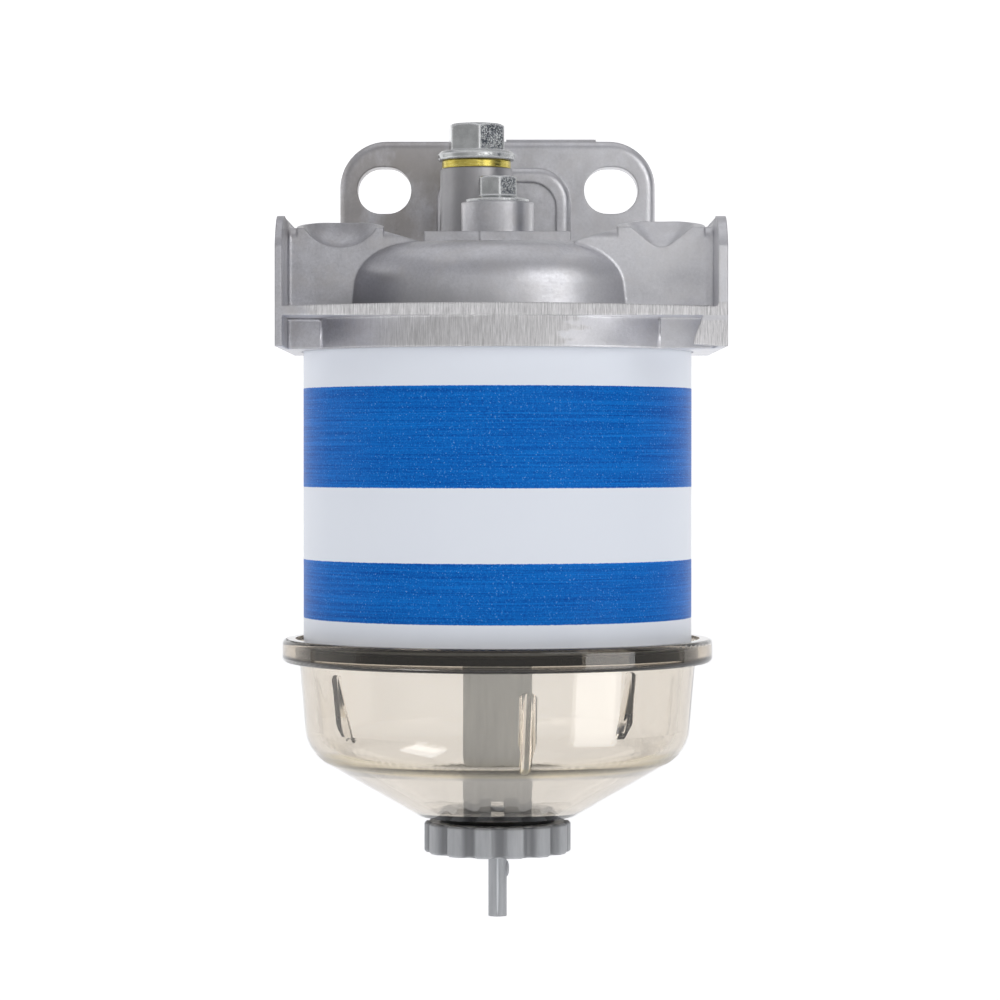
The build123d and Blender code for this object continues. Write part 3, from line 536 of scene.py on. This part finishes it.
tinned, tree, shader = finish_of("tin_steel")
spangle = add(tree, "ShaderNodeTexVoronoi", {"Vector": millimetres(tree), "Scale": 0.35})
tree.links.new(mix(tree, spangle.outputs["Color"], (0.58, 0.59, 0.60, 1), (0.72, 0.73, 0.73, 1)),
               shader.inputs["Base Color"])
shader.inputs["Metallic"].default_value = 1.0
rub = wear(tree, millimetres(tree), 0.8, 4.0, 0.7, gloss=(0.24, 0.42))
tree.links.new(rub["Roughness"], shader.inputs["Roughness"])
relief(tree, shader, rub["Height"], 0.2, 0.00006)
paint(tinned, "top_end_plate", "bottom_end_plate", "element_core")

# Seals: moulded black nitrile rubber. Only the bowl's ring, seen through the rim, and the
# edge of the ring over the knob show.
rubber, tree, shader = finish_of("black_rubber")
dust = wear(tree, millimetres(tree), 0.9, 5.0, 0.7,
            ((0.003, 0.003, 0.003, 1), (0.012, 0.012, 0.012, 1)), (0.35, 0.75), (0.42, 0.6))
tree.links.new(dust["Color"], shader.inputs["Base Color"])
tree.links.new(dust["Roughness"], shader.inputs["Roughness"])
shader.inputs["Specular IOR Level"].default_value = 0.15
relief(tree, shader, dust["Height"], 0.25, 0.00008)
paint(rubber, "bolt_seal", "head_seal", "upper_tube_seal", "lower_tube_seal", "bowl_seal",
      "hub_seal", "drain_washer")

# Sediment bowl: one clear moulding, tinted amber all through, so that it is darkest where the
# light goes along its wall. The rim and the seal's seat are tinted more. The front of the shoulder
# and the sides of the ribs at left and right carry a painted amber reflection.
rim_r, seat_heights, seat_r = (44.6, 45.2), (-68.6, -67.2), (43.6, 44.2)
shoulder_heights, shoulder_r, shoulder_front = (-91.0, -89.4), (34.0, 35.5), (10.0, -15.0)
rib_heights, rib_r, rib_side_x = (-82.0, -70.0), (42.1, 41.9), (18.0, 20.0)
rib_turned, soft_foot_heights = (0.85, 0.7), (-90.4, -88.7)
clear_tone, rim_tone = (0.99, 0.985, 0.975, 1), (0.74, 0.69, 0.62, 1)
shoulder_reflection_tone, seat_tone = (0.96, 0.87, 0.60, 1), (0.05, 0.045, 0.04, 1)
rib_reflection_tone = (1.0, 0.93, 0.80, 1)

clear, tree, shader = finish_of("clear_bowl")
x, y, z = parts_of(tree, millimetres(tree))
radius = from_line(tree)
# Painted amber reflection across the front of the shoulder.
shoulder_amber_reflection = times(tree, within(tree, z, *shoulder_heights, 0.6), remap(tree, y, *shoulder_front),
                 remap(tree, radius, *shoulder_r))
seat = times(tree, within(tree, z, *seat_heights, 0.3), remap(tree, radius, *seat_r))
outward = vector_math(tree, "NORMALIZE", millimetres(tree, stretch=(1, 1, 0)))["Vector"]
square_on = vector_math(tree, "DOT_PRODUCT", outward, facing_of(tree))["Value"]
# Painted amber reflection on the sides of the ribs at left and right.
side_rib_reflection = times(tree, remap(tree, radius, *rib_r), within(tree, z, *rib_heights, 0.5),
                 remap(tree, size_of(tree, square_on), *rib_turned),
                 remap(tree, size_of(tree, x), *rib_side_x))
resin = mix(tree, remap(tree, radius, *rim_r), clear_tone, rim_tone)
resin = mix(tree, times(tree, shoulder_amber_reflection, 0.9), resin, shoulder_reflection_tone)
resin = mix(tree, seat, resin, seat_tone)
resin = mix(tree, side_rib_reflection, resin, rib_reflection_tone)
tree.links.new(resin, shader.inputs["Base Color"])
frosted = plus(tree, times(tree, within(tree, z, *soft_foot_heights, 0.5), 0.22),
               times(tree, side_rib_reflection, 0.35))
tree.links.new(frosted, shader.inputs["Roughness"])
shader.inputs["IOR"].default_value = 1.50
shader.inputs["Transmission Weight"].default_value = 1.0
ripple = noise(tree, millimetres(tree, stretch=(0.09, 0.09, 0.05)), 1.0, 2.0, 0.4)
relief(tree, shader, ripple, 0.12, 0.0004)
tint = add(tree, "ShaderNodeVolumeAbsorption", {"Color": (0.455, 0.315, 0.095, 1),
                                                "Density": 80.0})
tree.links.new(tint.outputs[0], tree.nodes["Material Output"].inputs["Volume"])
paint(clear, "sediment_bowl")


# Centre tube and drain knob: glass-filled nylon, satin from the mould. The tube is the paler
# grey, and the knob's flutes carry painted shade. The knob has a parting line down its spigot,
# painted lighter as a highlight, and the stub of the gate beside it.
def satin_nylon(name, colours, flute_shade_grey=None):
    """Grey nylon from the mould; flute_shade_grey is painted shade in the knob's flutes."""
    material, tree, shader = finish_of(name)
    swirl = wear(tree, millimetres(tree, stretch=(0.5, 0.5, 0.08)), 1.0, 4.0, 0.6, colours)
    skin = wear(tree, millimetres(tree), 2.4, 3.0, 0.6, gloss=(0.38, 0.5))
    colour = swirl["Color"]
    if flute_shade_grey:
        radius = from_line(tree)
        flute_shade = times(tree, remap(tree, radius, *flute_rise), remap(tree, radius, *flute_floor))
        colour = mix(tree, flute_shade, colour, flute_shade_grey)
    tree.links.new(colour, shader.inputs["Base Color"])
    tree.links.new(skin["Roughness"], shader.inputs["Roughness"])
    edges = add(tree, "ShaderNodeBevel", {"Radius": 0.0004}, samples=4)
    relief(tree, shader, skin["Height"], 0.2, 0.00006, edges.outputs[0])
    return material


flute_rise, flute_floor = (15.9, 15.1), (14.6, 14.9)
tube_grey = satin_nylon("tube_nylon", ((0.58, 0.60, 0.615, 1), (0.68, 0.70, 0.715, 1)))
# The knob's last colour is painted shade in its flutes.
knob_grey = satin_nylon("knob_nylon", ((0.35, 0.36, 0.375, 1), (0.46, 0.47, 0.485, 1)),
                        (0.19, 0.195, 0.205, 1))
# Painted highlight: the parting line is a lighter grey that stands in for light along its ridge.
parting_highlight_grey = satin_nylon("parting_highlight_nylon", ((0.62, 0.64, 0.66, 1), (0.78, 0.80, 0.82, 1)))
paint(tube_grey, "bowl_centre_tube")
paint(knob_grey, "drain_knob")


def knob_trim(name, size, place, material):
    """A rounded scrap of the moulding, size across in x, y and z, that rides on the knob."""
    bm = bmesh.new()
    bmesh.ops.create_uvsphere(bm, u_segments=16, v_segments=10, radius=0.5)
    bmesh.ops.scale(bm, vec=size, verts=bm.verts[:])
    middle = (place[0], AXIS.y + place[1], SKIRT_Z + place[2])
    bmesh.ops.translate(bm, vec=middle, verts=bm.verts[:])
    piece = keep(name, bm)
    piece.data.materials.append(material)
    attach(piece, "drain_knob")


spigot_r, gate_z, parting_z = 0.00205, -0.1146, -0.1177
knob_trim("gate_stub", (0.0011, 0.0018, 0.0036), (spigot_r, 0, gate_z), knob_grey)
# The parting line's two pieces carry the painted highlight.
for side, parting_y in (("front", -spigot_r), ("rear", spigot_r)):
    knob_trim(f"spigot_parting_{side}", (0.0005, 0.0005, 0.0144), (0, parting_y, parting_z),
              parting_highlight_grey)

# Threaded insert: a turned brass bush, pressed hot into the top of the centre tube. The centre
# bolt screws into it. It is out of sight inside the tube.
brass, tree, shader = finish_of("brass_insert")
turning = wear(tree, millimetres(tree, stretch=(0.1, 0.1, 5.0)), 1.0, 3.0, 0.6,
               ((0.60, 0.42, 0.16, 1), (0.78, 0.58, 0.26, 1)), (0.0, 1.0), (0.22, 0.36))
tree.links.new(turning["Color"], shader.inputs["Base Color"])
shader.inputs["Metallic"].default_value = 1.0
tree.links.new(turning["Roughness"], shader.inputs["Roughness"])
relief(tree, shader, turning["Height"], 0.2, 0.00005)
paint(brass, "threaded_insert")

# Centre bolt and vent plug: forged flange heads, zinc plated and bright. Their edges are rounded
# by the tumbling and carry a painted highlight, and the flats turned to the outlet side are
# speckled with dents.
zinc, tree, shader = finish_of("zinc_steel")
facing = facing_of(tree)
haze = wear(tree, millimetres(tree), 0.35, 3.0, 0.6,
            ((0.52, 0.535, 0.53, 1), (0.66, 0.675, 0.67, 1)), (0.35, 0.65), (0.09, 0.15))
edges = add(tree, "ShaderNodeBevel", {"Radius": 0.0009}, samples=8)
square_on = vector_math(tree, "DOT_PRODUCT", edges.outputs[0], facing)["Value"]
# Painted highlight on the rounded edges of the heads.
painted_edge_highlight = remap(tree, square_on, 0.99, 0.93)
tree.links.new(mix(tree, painted_edge_highlight, haze["Color"], (0.97, 0.98, 0.98, 1)),
               shader.inputs["Base Color"])
shader.inputs["Metallic"].default_value = 1.0
dented_side = remap(tree, parts_of(tree, facing)["X"], 0.05, 0.45, 0.06, 0.8)
satin = plus(tree, haze["Roughness"], times(tree, painted_edge_highlight, 0.25))
tree.links.new(plus(tree, satin, times(tree, dented_side, 0.12)), shader.inputs["Roughness"])
dents = remap(tree, noise(tree, millimetres(tree), 2.6, 3.0, 0.6), 0.52, 0.66)
dents = times(tree, math_node(tree, "SUBTRACT", dents, 0.5), dented_side)
relief(tree, shader, dents, 1.0, 0.00005, edges.outputs[0])
paint(zinc, "centre_bolt", "vent_plug")

# Vent washer: soft metal with a bright yellow passivated skin, squeezed under the plug.
# It leaves the boss with the plug when the plug is undone.
yellow, tree, shader = finish_of("yellow_washer")
rub = wear(tree, millimetres(tree, stretch=(0.4, 0.4, 2.5)), 1.0, 4.0, 0.7,
           ((0.58, 0.45, 0.07, 1), (0.85, 0.74, 0.22, 1)), gloss=(0.15, 0.32))
tree.links.new(rub["Color"], shader.inputs["Base Color"])
shader.inputs["Metallic"].default_value = 1.0
tree.links.new(rub["Roughness"], shader.inputs["Roughness"])
relief(tree, shader, rub["Height"], 0.2, 0.00006)
paint(yellow, "vent_washer")
